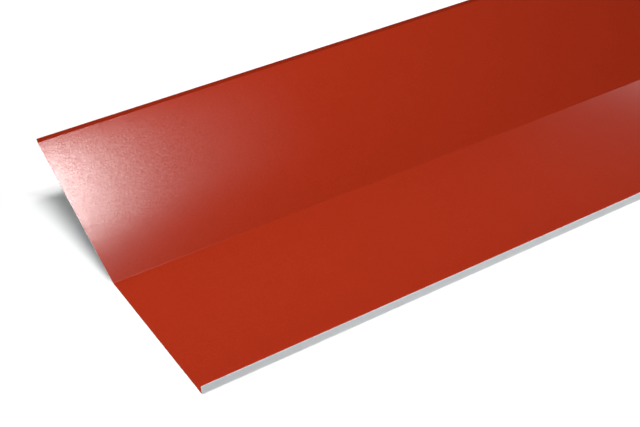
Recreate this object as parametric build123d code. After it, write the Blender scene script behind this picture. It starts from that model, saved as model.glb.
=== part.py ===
from build123d import *
import os
from math import cos, radians, sin

# A valley flashing: one strip of coated steel sheet, folded lengthways into a shallow V that carries rain
# water down the inner corner of two roof slopes. The near edge is turned up and back over its wing as an
# open water fold, which stops water that is blown sideways and gives fixing clips an edge to hook over. The
# far edge carries a narrower fold that is turned up only a little from its wing.
# Lengths are millimetres and angles are degrees. X runs along the flashing, +Y from the near wing to the
# far one, +Z up, and the near wing lies flat on the ground as the sheet does when it is put down.

# Driving dimensions
length = 2000.0                # stock length of the sheet
wing_width = 200.5             # each wing, from the valley corner to the corner of its fold
near_fold_width = 10.2         # near water fold, from its corner to its free edge
far_fold_width = 4.8           # far water fold, the same way
sheet_thickness = 0.5          # steel with both coats
valley_turn = 24.0             # how far the far wing is turned up out of the near wing's plane
near_fold_opening = 76.0       # angle left open between the near wing and its fold
far_fold_opening = 144.0       # angle left open between the far wing and its fold
valley_inner_radius = 1.5      # inside of the valley bend, on the top coat
fold_inner_radius = 1.0        # inside of each fold's bend


def along(angle, distance):
    """A step of a given distance in the section's plane; 0 degrees points along +Y, 90 up."""
    return Vector(distance * cos(radians(angle)), distance * sin(radians(angle)))


def underside_corners():
    """The underside's sharp corners, from the near fold's free edge to the far fold's."""
    valley = Vector(0, 0)
    near_corner = valley + along(180, wing_width)
    near_edge = near_corner + along(near_fold_opening, near_fold_width)
    far_corner = valley + along(valley_turn, wing_width)
    far_edge = far_corner + along(180 + valley_turn - far_fold_opening, far_fold_width)
    return [near_edge, near_corner, valley, far_corner, far_edge]


def section_face():
    """The folded section: the underside with its bends, thickened towards the top coat."""
    fold_radius = fold_inner_radius + sheet_thickness
    valley_radius = valley_inner_radius + sheet_thickness
    underside = FilletPolyline(*underside_corners(), radius=[fold_radius, valley_radius, fold_radius])
    outline = offset(underside, amount=sheet_thickness, side=Side.LEFT, closed=True)
    return make_face(outline)


def flashing_sheet():
    """The section run along X for the full length, stood on the ground and centred over the origin."""
    across = Plane(origin=(-length / 2, 0, 0), x_dir=(0, 1, 0), z_dir=(1, 0, 0))
    sheet = extrude(across * section_face(), amount=length)
    reach = sheet.bounding_box()
    return Pos(0, -(reach.min.Y + reach.max.Y) / 2, -reach.min.Z) * sheet


os.makedirs("parts", exist_ok=True)
export_step(flashing_sheet(), "parts/flashing_sheet.step")
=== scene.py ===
# %% [markdown]
# # A valley flashing, folded from coated steel sheet
# Where two roof slopes meet in an inner corner, a valley flashing carries the rain away. It is one
# strip of steel sheet, red on the side that shows and light grey on the back, folded lengthways
# into a shallow V. The near edge is turned up and back over its wing as an open water fold, and
# the far edge has a lower one.
#
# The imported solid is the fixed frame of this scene. The lesson folds a finer sheet on the same
# lines, with a coat on each side and bare steel at the cut edges, and lights it as for a catalogue
# photograph.

# %% Load the frame
from math import cos, pi, radians, sin, tan

import bmesh
import bpy
from mathutils import Matrix, Vector


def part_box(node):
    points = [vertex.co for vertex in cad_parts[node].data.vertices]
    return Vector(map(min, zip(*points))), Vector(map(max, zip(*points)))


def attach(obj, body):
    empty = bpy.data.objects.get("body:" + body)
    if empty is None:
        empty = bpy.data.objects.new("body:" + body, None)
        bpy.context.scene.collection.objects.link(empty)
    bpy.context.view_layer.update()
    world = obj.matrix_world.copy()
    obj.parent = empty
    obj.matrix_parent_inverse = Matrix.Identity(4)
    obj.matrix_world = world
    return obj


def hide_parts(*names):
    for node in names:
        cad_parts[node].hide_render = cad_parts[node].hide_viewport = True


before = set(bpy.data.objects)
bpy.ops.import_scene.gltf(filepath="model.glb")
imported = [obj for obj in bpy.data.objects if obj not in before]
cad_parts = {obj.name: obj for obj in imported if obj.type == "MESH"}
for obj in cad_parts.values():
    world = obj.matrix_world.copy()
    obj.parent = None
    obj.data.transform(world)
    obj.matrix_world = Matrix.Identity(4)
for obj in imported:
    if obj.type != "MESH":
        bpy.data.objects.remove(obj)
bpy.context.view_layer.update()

scene = bpy.context.scene
node_low, node_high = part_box("flashing_sheet")
length = node_high.x - node_low.x

# %% [markdown]
# ## The sheet
# On the real flashing, a folding machine clamps a flat strip and turns it up along straight lines:
# once in the middle for the valley, and once near each edge for the water folds. The steel is only
# half a millimetre thick, so each bend has a small radius, and the thickness is the same all over.
#
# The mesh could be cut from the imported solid, but that one is loose triangles with coarse bends.
# Folding a new one takes few steps and gives clean long faces: walk along the section vertex by
# vertex, extrude that line into a surface, bevel the three fold lines into round bends, and give
# the surface its thickness last. The walk follows the underside, because the wings' widths are
# measured there.

# %% Sizes of the section, in metres
wing_width = 0.2005
near_fold_width = 0.0102
far_fold_width = 0.0048
sheet_thickness = 0.0005
valley_turn = radians(24)
near_fold_opening = radians(76)
far_fold_opening = radians(144)
half_turn = radians(180)
valley_radius = 0.0015 + sheet_thickness
fold_radius = 0.001 + sheet_thickness
flat_width = 2 * wing_width + near_fold_width + far_fold_width
print("strip before folding, in mm:", round(1000 * flat_width, 1))


# %% Walk along the section
def walk_section(sheet):
    """Lays out the section's underside as a chain of edges, from the near fold's free edge on."""
    runs = [
        (half_turn + near_fold_opening, near_fold_width),
        (0, wing_width),
        (valley_turn, wing_width),
        (half_turn + valley_turn - far_fold_opening, far_fold_width),
    ]
    corner = sheet.verts.new((-length / 2, 0, 0))
    for heading, distance in runs:
        step = bmesh.ops.extrude_vert_indiv(sheet, verts=[corner])
        corner = step["verts"][0]
        run = (0, distance * cos(heading), distance * sin(heading))
        bmesh.ops.translate(sheet, verts=[corner], vec=run)


sheet = bmesh.new()
walk_section(sheet)
print("section:", len(sheet.verts), "corners,", len(sheet.edges), "straight runs")

# %% [markdown]
# Extruding the chain of edges along X gives the whole underside as four long faces. Their normals
# have to point down and out, because the thickness goes on against them, so the near wing's face
# is asked which way it looks and all faces are turned if it looks up.


# %% Draw the section out to its length
def draw_out(sheet):
    swept = bmesh.ops.extrude_edge_only(sheet, edges=sheet.edges[:])
    moved = [part for part in swept["geom"] if isinstance(part, bmesh.types.BMVert)]
    bmesh.ops.translate(sheet, verts=moved, vec=(length, 0, 0))
    sheet.normal_update()
    flat_face = max(sheet.faces, key=lambda face: abs(face.normal.z))
    if flat_face.normal.z > 0:
        bmesh.ops.reverse_faces(sheet, faces=sheet.faces[:])


draw_out(sheet)
slopes = [round(face.normal.z, 2) for face in sheet.faces]
print("underside, how far each face looks up:", slopes)

# %% [markdown]
# A bend's bevel starts where the arc touches the flat, at the radius times the tangent of half the
# turn. The near fold turns sharply and the other two bends turn little, so each bend is a call
# with its own turn and number of segments. The round faces alone are shaded smooth: the wings stay
# dead flat, with no shading drawn across them from the bends.


# %% Round the three bends
def round_bend(sheet, bend, radius, turn, segments):
    rounded = bmesh.ops.bevel(
        sheet, geom=[bend], offset=radius * tan(turn / 2), offset_type="OFFSET",
        affect="EDGES", segments=segments, profile=0.5, material=-1)
    for face in rounded["faces"]:
        face.smooth = True
    return len(rounded["faces"])


fold_lines = [edge for edge in sheet.edges if len(edge.link_faces) == 2]
near_line, valley_line, far_line = sorted(fold_lines, key=lambda edge: edge.verts[0].co.y)
near_turn = half_turn - near_fold_opening
far_turn = half_turn - far_fold_opening
valley_faces = round_bend(sheet, valley_line, valley_radius, valley_turn, segments=8)
near_faces = round_bend(sheet, near_line, fold_radius, near_turn, segments=12)
far_faces = round_bend(sheet, far_line, fold_radius, far_turn, segments=6)
print("round faces in the valley:", valley_faces, "and in the folds:", near_faces, far_faces)

# %% [markdown]
# Solidify keeps the faces it is given and adds the top side and the rim. The three finishes follow
# from that: old faces are the grey back, new faces that touch no old corner are the red top, and
# the rest is the rim, where the shears left bare steel. Every edge of a flat face is marked sharp.
# Without that, the bends' normals at both ends would lean with the rim, and a bend this long and
# narrow would carry a false glint along it.

# %% Give it thickness and tell the sides apart
RED_TOP, GREY_BACK, BARE_RIM = 0, 1, 2
back_faces = set(sheet.faces)
back_corners = set(sheet.verts)
bmesh.ops.solidify(sheet, geom=sheet.faces[:], thickness=sheet_thickness)
for face in sheet.faces:
    if face in back_faces:
        face.material_index = GREY_BACK
    elif back_corners.isdisjoint(face.verts):
        face.material_index = RED_TOP
    else:
        face.material_index = BARE_RIM
        face.smooth = False
for edge in sheet.edges:
    edge.smooth = all(face.smooth for face in edge.link_faces)
heights = [vert.co.z for vert in sheet.verts]
print("faces:", len(sheet.faces), "lowest and highest:", min(heights), max(heights))


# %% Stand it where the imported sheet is
def low_corner(sheet):
    return Vector([min(vert.co[axis] for vert in sheet.verts) for axis in range(3)])


bmesh.ops.translate(sheet, verts=sheet.verts[:], vec=node_low - low_corner(sheet))
sheet_mesh = bpy.data.meshes.new("folded_sheet")
sheet.to_mesh(sheet_mesh)
sheet.free()
folded_sheet = bpy.data.objects.new("folded_sheet", sheet_mesh)
scene.collection.objects.link(folded_sheet)
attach(folded_sheet, "root")
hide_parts("flashing_sheet")
print("folded sheet, size in mm:", [round(1000 * side, 2) for side in folded_sheet.dimensions])

# %% [markdown]
# ## Shared effects
# Paint that is rolled on to a moving coil and baked dries with a very fine skin, called orange
# peel, and the thin sheet under it is never quite flat. Both show only in reflections, so both are
# bumps. They and the paint's slight unevenness are wanted on both coats, so they are node groups
# with values of their own in each material.


# %% Helpers for node trees
def add(tree, kind, **settings):
    """A new node, with its properties and the values of its inputs set by name."""
    node = tree.nodes.new(kind)
    for name, value in settings.items():
        if hasattr(node, name):
            setattr(node, name, value)
        else:
            node.inputs[name.replace("_", " ")].default_value = value
    return node


def join(tree, source, output, target, entry):
    tree.links.new(source.outputs[output], target.inputs[entry])


def calc(tree, operation, *values):
    """A Math node on numbers or other nodes' outputs; gives its result."""
    node = add(tree, "ShaderNodeMath", operation=operation)
    for entry, value in zip(node.inputs, values):
        if isinstance(value, bpy.types.NodeSocket):
            tree.links.new(value, entry)
        else:
            entry.default_value = value
    return node.outputs["Value"]


def smooth_step(tree, value, start, end):
    """0 before the start, 1 after the end, and a soft rise between."""
    rise = add(tree, "ShaderNodeMapRange", interpolation_type="SMOOTHSTEP",
               From_Min=start, From_Max=end)
    tree.links.new(value, rise.inputs["Value"])
    return rise.outputs["Result"]


def new_group(name, inputs, outputs):
    """An empty node group with float sockets, and its input and output nodes."""
    group = bpy.data.node_groups.new(name, "ShaderNodeTree")
    for label, value in inputs.items():
        socket = group.interface.new_socket(label, in_out="INPUT", socket_type="NodeSocketFloat")
        socket.default_value = value
    for label in outputs:
        group.interface.new_socket(label, in_out="OUTPUT", socket_type="NodeSocketFloat")
    return group, group.nodes.new("NodeGroupInput"), group.nodes.new("NodeGroupOutput")


# %% [markdown]
# The first group gives the height of the paint's skin: a fine noise of about a millimetre, on a
# slow wave as long as a hand that stands for the sheet's own unevenness. A group may hold any part
# of a material that changes over the surface. Here it gives one height, and the Bump node stays in
# the material.

# %% Group: paint skin
skin_group, skin_in, skin_out = new_group(
    "paint_skin",
    {"Peel Scale": 700.0, "Peel Height": 1.0, "Wave Scale": 4.0, "Wave Height": 1.0},
    ["Height"])
place = add(skin_group, "ShaderNodeTexCoord")
peel = add(skin_group, "ShaderNodeTexNoise", Detail=2.0, Roughness=0.5)
wave = add(skin_group, "ShaderNodeTexNoise", Detail=1.0, Roughness=0.4)
peel_height = add(skin_group, "ShaderNodeMath", operation="MULTIPLY")
both_heights = add(skin_group, "ShaderNodeMath", operation="MULTIPLY_ADD")
join(skin_group, place, "Object", peel, "Vector")
join(skin_group, place, "Object", wave, "Vector")
join(skin_group, skin_in, "Peel Scale", peel, "Scale")
join(skin_group, skin_in, "Wave Scale", wave, "Scale")
join(skin_group, peel, "Fac", peel_height, 0)
join(skin_group, skin_in, "Peel Height", peel_height, 1)
join(skin_group, wave, "Fac", both_heights, 0)
join(skin_group, skin_in, "Wave Height", both_heights, 1)
join(skin_group, peel_height, "Value", both_heights, 2)
join(skin_group, both_heights, "Value", skin_out, "Height")
print("group", skin_group.name, "holds", len(skin_group.nodes), "nodes")

# %% [markdown]
# The second group gives three masks between 0 and 1. Mottle is the paint's unevenness, broad and
# soft. Rub is the faint cloudy marks that gloves and stacking leave, long along the sheet because
# it is pulled out that way, and most of the surface has none. Grain is the skin's pits and crests
# as they look from a few steps away: too small to be seen as relief, they shade the colour a
# little, and make the mirrored light stronger here and weaker there.

# %% Group: paint marks
marks_group, marks_in, marks_out = new_group(
    "paint_marks", {"Mottle Scale": 40.0, "Rub Scale": 9.0, "Grain Scale": 350.0},
    ["Mottle", "Rub", "Grain"])
place = add(marks_group, "ShaderNodeTexCoord")
mottle = add(marks_group, "ShaderNodeTexNoise", Detail=4.0, Roughness=0.6)
stretch = add(marks_group, "ShaderNodeMapping", Scale=(0.35, 1.0, 1.0))
rub = add(marks_group, "ShaderNodeTexNoise", Detail=6.0, Roughness=0.7)
rub_patches = add(marks_group, "ShaderNodeMapRange", From_Min=0.55, From_Max=0.8)
grain = add(marks_group, "ShaderNodeTexNoise", Detail=1.0, Roughness=0.5)
grain_contrast = add(marks_group, "ShaderNodeMapRange", From_Min=0.25, From_Max=0.75)
join(marks_group, place, "Object", mottle, "Vector")
join(marks_group, place, "Object", stretch, "Vector")
join(marks_group, stretch, "Vector", rub, "Vector")
join(marks_group, marks_in, "Mottle Scale", mottle, "Scale")
join(marks_group, marks_in, "Rub Scale", rub, "Scale")
join(marks_group, rub, "Fac", rub_patches, "Value")
join(marks_group, mottle, "Fac", marks_out, "Mottle")
join(marks_group, rub_patches, "Result", marks_out, "Rub")
join(marks_group, place, "Object", grain, "Vector")
join(marks_group, marks_in, "Grain Scale", grain, "Scale")
join(marks_group, grain, "Fac", grain_contrast, "Value")
join(marks_group, grain_contrast, "Result", marks_out, "Grain")
print("group", marks_group.name, "holds", len(marks_group.nodes), "nodes")


# %% [markdown]
# ## The two coats
# The top coat is baked polyester paint in oxide red, smooth enough to mirror a lamp as a soft
# white glow. The back has one thin coat of light grey, flatter and a little uneven. They differ
# only in numbers, so one function makes both: grain, and half as much mottle, lead between two
# near colours, the rub dulls the gloss, and the skin goes through a Bump node. Such paint dries
# with a clear film on top. The shader's Coat is that film, and the grain varies its weight, so
# that the mirrored light sparkles a little.


# %% Paint material
skin_relief = 0.0001
mottle_share = 0.5


def coat(name, colours, gloss, mirror, film, skin, marks):
    """A baked paint: two near colours, roughness clean and rubbed, how much it mirrors, its
    thinnest and fullest clear film, its skin and its marks."""
    material = bpy.data.materials.new(name)
    material.use_nodes = True
    tree = material.node_tree
    paint = tree.nodes["Principled BSDF"]
    paint_marks = add(tree, "ShaderNodeGroup", node_tree=marks_group)
    for label, value in marks.items():
        paint_marks.inputs[label].default_value = value
    paint_skin = add(tree, "ShaderNodeGroup", node_tree=skin_group)
    for label, value in skin.items():
        paint_skin.inputs[label].default_value = value
    shade = add(tree, "ShaderNodeMix", data_type="RGBA")
    shade.inputs[6].default_value = (*colours[0], 1)
    shade.inputs[7].default_value = (*colours[1], 1)
    mottle = paint_marks.outputs["Mottle"]
    broad = calc(tree, "MULTIPLY_ADD", mottle, mottle_share, -mottle_share / 2)
    tree.links.new(calc(tree, "ADD", paint_marks.outputs["Grain"], broad), shade.inputs[0])
    tree.links.new(shade.outputs[2], paint.inputs["Base Color"])
    dulled = add(tree, "ShaderNodeMapRange", To_Min=gloss[0], To_Max=gloss[1])
    join(tree, paint_marks, "Rub", dulled, "Value")
    join(tree, dulled, "Result", paint, "Roughness")
    bump = add(tree, "ShaderNodeBump", Strength=1.0, Distance=skin_relief)
    join(tree, paint_skin, "Height", bump, "Height")
    join(tree, bump, "Normal", paint, "Normal")
    paint.inputs["Specular IOR Level"].default_value = mirror
    paint.inputs["Coat Roughness"].default_value = gloss[0]
    clear_film = add(tree, "ShaderNodeMapRange", To_Min=film[0], To_Max=film[1])
    join(tree, paint_marks, "Grain", clear_film, "Value")
    join(tree, clear_film, "Result", paint, "Coat Weight")
    return material


red_coat = coat(
    "red_coat", colours=[(0.385, 0.027, 0.0075), (0.445, 0.033, 0.0105)],
    gloss=(0.14, 0.18), mirror=0.14, film=(0.11, 0.87),
    skin={"Peel Scale": 700.0, "Peel Height": 0.2, "Wave Scale": 4.0, "Wave Height": 1.0},
    marks={"Mottle Scale": 40.0, "Rub Scale": 9.0, "Grain Scale": 500.0})
grey_back_coat = coat(
    "grey_back_coat", colours=[(0.89, 0.91, 0.93), (0.92, 0.94, 0.96)],
    gloss=(0.42, 0.55), mirror=0.3, film=(0.1, 0.3),
    skin={"Peel Scale": 500.0, "Peel Height": 0.15, "Wave Scale": 4.0, "Wave Height": 1.0},
    marks={"Mottle Scale": 25.0, "Rub Scale": 14.0, "Grain Scale": 350.0})
print("coats:", red_coat.name, "and", grey_back_coat.name)

# %% [markdown]
# ## Bare steel at the cut edges
# The shears cut through paint, zinc and steel, and leave a bright burnished band on a greyer torn
# one. At half a millimetre it reads as a thin light line round the sheet. Torn steel scatters
# light more than it mirrors it, so the surface is nearly matte, with fine noise in its colour and
# roughness.

# %% Cut edge material
cut_edge = bpy.data.materials.new("cut_edge")
cut_edge.use_nodes = True
tree = cut_edge.node_tree
steel = tree.nodes["Principled BSDF"]
steel_share = 0.1
steel.inputs["Metallic"].default_value = steel_share
place = add(tree, "ShaderNodeTexCoord")
torn = add(tree, "ShaderNodeTexNoise", Scale=900.0, Detail=3.0, Roughness=0.6)
tone = add(tree, "ShaderNodeValToRGB")
tone.color_ramp.elements[0].color = (0.78, 0.78, 0.77, 1)
tone.color_ramp.elements[1].color = (0.92, 0.92, 0.91, 1)
worn = add(tree, "ShaderNodeMapRange", To_Min=0.3, To_Max=0.5)
join(tree, place, "Object", torn, "Vector")
join(tree, torn, "Fac", tone, "Fac")
join(tree, tone, "Color", steel, "Base Color")
join(tree, torn, "Fac", worn, "Value")
join(tree, worn, "Result", steel, "Roughness")
for material in (red_coat, grey_back_coat, cut_edge):
    folded_sheet.data.materials.append(material)
print("materials on the sheet:", [slot.name for slot in folded_sheet.data.materials])

# %% [markdown]
# ## Floor
# The sheet lies on white paper. Paper this white would shine its light into the shadow as well, so
# the camera sees a paper of half that whiteness, and camera and mirror rays get the rest added as
# a glow. The glow grows with the distance from the lamp, because real paper is lit evenly, and it
# is left out under the raised wing. The shadow beside the raised end then keeps the depth the
# lamps
# give it, while its soft rim is painted: the glow's mask rises the more softly, the higher the
# wing stands over the place. Seen from below the paper is clear, so that the back of the sheet can
# be looked at.

# %% Paper sheet
floor_size = 24.0
floor_gap = 0.0002
lamp_x, lamp_y = -1.03, 0.207
lamp_foot = Vector((lamp_x, lamp_y, 0.0))

paper_mesh = bpy.data.meshes.new("paper_floor")
paper_shape = bmesh.new()
bmesh.ops.create_grid(paper_shape, x_segments=1, y_segments=1, size=floor_size / 2)
bmesh.ops.translate(paper_shape, verts=paper_shape.verts[:], vec=(0, 0, -floor_gap))
paper_shape.to_mesh(paper_mesh)
paper_shape.free()
paper_floor = bpy.data.objects.new("paper_floor", paper_mesh)
scene.collection.objects.link(paper_floor)
print("paper floor:", floor_size, "m wide,", 1000 * floor_gap, "mm under the sheet")

# %% [markdown]
# The glow's mask is worked out from the place on the floor. Past the sheet's left end it rises
# over a width that grows with the wing's height, so with Y, and this rise is the painted soft rim
# of the shadow beside the raised end. It rises over four centimetres past the right end, again
# past the far edge, and again under the near wing, which lies flat. In front of the sheet the glow
# is a little stronger: painted light that clears the near fold's shade off the paper.

# %% Paper material
paper = bpy.data.materials.new("white_paper")
paper.use_nodes = True
tree = paper.node_tree
tree.nodes.clear()
surface = add(tree, "ShaderNodeOutputMaterial")
ray = add(tree, "ShaderNodeLightPath")
place = add(tree, "ShaderNodeTexCoord")
split = add(tree, "ShaderNodeSeparateXYZ")
join(tree, place, "Object", split, "Vector")
floor_x, floor_y = split.outputs["X"], split.outputs["Y"]

# Painted shadow rim: the mask's soft rise beside the raised end widens with Y.
least_softness, softness_per_metre = 0.012, 0.16
raised_part = calc(tree, "MAXIMUM", floor_y, 0.0)
softness = calc(tree, "MULTIPLY_ADD", raised_part, softness_per_metre, least_softness)
left_end = node_low.x - 0.001
at_right_end = (node_high.x - 0.01, node_high.x + 0.03)
under_far_edge, under_valley = (0.178, 0.22), (0.04, 0.0)
past_end = calc(tree, "DIVIDE", calc(tree, "SUBTRACT", left_end, floor_x), softness)
beside = smooth_step(tree, past_end, -0.5, 0.5)
behind = smooth_step(tree, floor_y, *under_far_edge)
in_front = smooth_step(tree, floor_y, *under_valley)
beyond = smooth_step(tree, floor_x, *at_right_end)
either_end = calc(tree, "MAXIMUM", beside, beyond)
outside = calc(tree, "MAXIMUM", either_end, calc(tree, "MAXIMUM", behind, in_front))

from_foot = add(tree, "ShaderNodeVectorMath", operation="DISTANCE")
from_foot.inputs[1].default_value = lamp_foot
join(tree, place, "Object", from_foot, 0)
# glow_in_front is painted light over the near fold's shade on the paper.
lit_reach, least_glow, full_glow, glow_in_front = 1.6, 0.5, 0.95, 0.12
missing = add(tree, "ShaderNodeMapRange", From_Max=lit_reach, To_Min=least_glow, To_Max=full_glow)
join(tree, from_foot, "Value", missing, "Value")
level = calc(tree, "MULTIPLY_ADD", in_front, glow_in_front, missing.outputs["Result"])
seen = calc(tree, "MAXIMUM", ray.outputs["Is Camera Ray"], ray.outputs["Is Glossy Ray"])
open_glow = calc(tree, "MULTIPLY", level, outside)
glow = add(tree, "ShaderNodeEmission")
tree.links.new(calc(tree, "MULTIPLY", open_glow, seen), glow.inputs["Strength"])

paper_whiteness, whiteness_for_camera = 0.95, 0.42
whiteness = add(tree, "ShaderNodeMapRange", To_Min=paper_whiteness, To_Max=whiteness_for_camera)
matte = add(tree, "ShaderNodeBsdfDiffuse")
join(tree, ray, "Is Camera Ray", whiteness, "Value")
join(tree, whiteness, "Result", matte, "Color")
lit = add(tree, "ShaderNodeAddShader")
clear = add(tree, "ShaderNodeBsdfTransparent")
front_or_back = add(tree, "ShaderNodeMixShader")
side = add(tree, "ShaderNodeNewGeometry")
join(tree, matte, "BSDF", lit, 0)
join(tree, glow, "Emission", lit, 1)
join(tree, side, "Backfacing", front_or_back, 0)
join(tree, lit, "Shader", front_or_back, 1)
join(tree, clear, "BSDF", front_or_back, 2)
join(tree, front_or_back, "Shader", surface, "Surface")
paper_floor.data.materials.append(paper)
print("paper material:", len(tree.nodes), "nodes")

# %% [markdown]
# ## Light
# The far wing mirrors what is above it and the near wing mirrors the middle height of the room
# behind. The room is therefore white behind and low down, as paper walls are, and dim elsewhere. A
# soft lamp hangs right over the raised end: its right edge is what glows in the far wing's left
# end, and its light from straight above puts a shadow under the raised end and lets it show beside
# it. The glow in the photograph runs out slowly to the right, as under a cloth-covered lamp, so a
# row of ever fainter strips hangs beside the lamp. The camera itself sees white all round, for the
# views from below.
#
# Four more lamps stand out of the picture. A low one behind and to the right lights the near wing
# and leaves the far one as it is. A thin strip over it is the pale patch that the near wing
# mirrors at the picture's right edge. One hangs near the sheet's right end, which only other views
# show, and a wide one in front lights the near fold.

# %% Room
wall_back, wall_front, ceiling = 1.35, 0.01, 0.01
wall_top_low, wall_top_high = radians(20), radians(26)
side_blend = 0.4

room = bpy.data.worlds.new("paper_room")
scene.world = room
room.use_nodes = True
tree = room.node_tree
sky = tree.nodes["Background"]
direction = add(tree, "ShaderNodeTexCoord")
split = add(tree, "ShaderNodeSeparateXYZ")
wall_height = add(tree, "ShaderNodeMapRange", interpolation_type="SMOOTHSTEP",
                  From_Min=sin(wall_top_low), From_Max=sin(wall_top_high), To_Min=1.0, To_Max=0.0)
wall_side = add(tree, "ShaderNodeMapRange", interpolation_type="SMOOTHSTEP",
                From_Min=-side_blend, From_Max=side_blend, To_Min=wall_front, To_Max=wall_back)
walls = add(tree, "ShaderNodeMath", operation="MULTIPLY")
all_round = add(tree, "ShaderNodeMath", operation="ADD")
all_round.inputs[1].default_value = ceiling
join(tree, direction, "Generated", split, "Vector")
join(tree, split, "Z", wall_height, "Value")
join(tree, split, "Y", wall_side, "Value")
join(tree, wall_height, "Result", walls, 0)
join(tree, wall_side, "Result", walls, 1)
join(tree, walls, "Value", all_round, 0)
to_camera = add(tree, "ShaderNodeLightPath").outputs["Is Camera Ray"]
strength = calc(tree, "MAXIMUM", all_round.outputs["Value"], to_camera)
tree.links.new(strength, sky.inputs["Strength"])
sky.inputs["Color"].default_value = (1, 1, 1, 1)
print("room:", wall_back, "behind,", wall_front, "in front,", ceiling, "overhead")

# %% [markdown]
# Each lamp is a flat rectangle aimed at a point. Its brightness is given as it looks from the
# front, because that is what the paint mirrors, and the lamp's power follows from its area.


# %% Lamps
def soft_lamp(name, place, target, size, radiance):
    """A flat lamp at a place, aimed at a target, with the brightness of its front."""
    lamp = bpy.data.lights.new(name, "AREA")
    lamp.shape = "RECTANGLE"
    lamp.size, lamp.size_y = size
    lamp.energy = radiance * pi * size[0] * size[1]
    lamp_object = bpy.data.objects.new(name, lamp)
    lamp_object.location = place
    aim = (Vector(target) - Vector(place)).to_track_quat("-Z", "Y")
    lamp_object.rotation_euler = aim.to_euler()
    scene.collection.objects.link(lamp_object)
    return lamp_object


lamp_height, lamp_width, lamp_depth, lamp_radiance = 1.5, 0.94, 0.21, 35.0
first_strip, strip_width = -0.56, 0.08
fading = [0.47, 0.23, 0.11, 0.055, 0.035, 0.022, 0.012, 0.005]
panels = [(lamp_x, lamp_width, 1.0)]
for place_in_row, part in enumerate(fading):
    panels.append((first_strip + (place_in_row + 0.5) * strip_width, strip_width, part))
for number, (middle, width, part) in enumerate(panels):
    below = Vector((middle, lamp_foot.y, 0))
    above = Vector((middle, lamp_foot.y, lamp_height))
    soft_lamp(f"overhead_panel_{number}", above, below, (width, lamp_depth), part * lamp_radiance)

lamps_around = [
    ("rear_lamp", (2.1, 1.95, 0.92), (-0.2, -0.1, 0), (1.0, 0.5), 14.0),
    ("patch_lamp", (1.82, 1.6, 1.45), (-0.25, -0.02, 0), (0.85, 0.08), 3.8),
    ("right_lamp", (1.25, -0.45, 1.3), (1.0, 0, 0), (0.5, 0.3), 7.0),
    ("front_lamp", (-0.4, -0.9, 0.15), (-0.4, -0.19, 0), (1.2, 0.2), 1.7),
]
for name, place, target, size, radiance in lamps_around:
    soft_lamp(name, place, target, size, radiance)
print("panels overhead:", len(panels), "and lamps around:", len(lamps_around))

# %% [markdown]
# ## Camera
# The photograph looks along the sheet from its left end, so the length runs out of the picture.
# The place, the turn and the lens come from the lines of the folds: their common vanishing point
# gives the directions, and the widths of the near and far ends give the distance.

# %% Camera
image_width, lens_in_pixels = 640, 1280.5
film_width = 36.0
camera_place = Vector((-1.4204, -0.9982, 0.9465))
look_down, look_right, tilt = radians(38.174), radians(34.716), radians(1.820)

camera_data = bpy.data.cameras.new("camera")
camera_data.sensor_width = film_width
camera_data.lens = lens_in_pixels * film_width / image_width
camera = bpy.data.objects.new("camera", camera_data)
turn = Matrix.Rotation(-look_right, 4, "Z") @ Matrix.Rotation(pi / 2 - look_down, 4, "X")
camera.matrix_world = Matrix.Translation(camera_place) @ turn @ Matrix.Rotation(tilt, 4, "Z")
scene.collection.objects.link(camera)
scene.camera = camera
scene.view_settings.view_transform = "Standard"
print("lens:", round(camera_data.lens, 2), "mm")
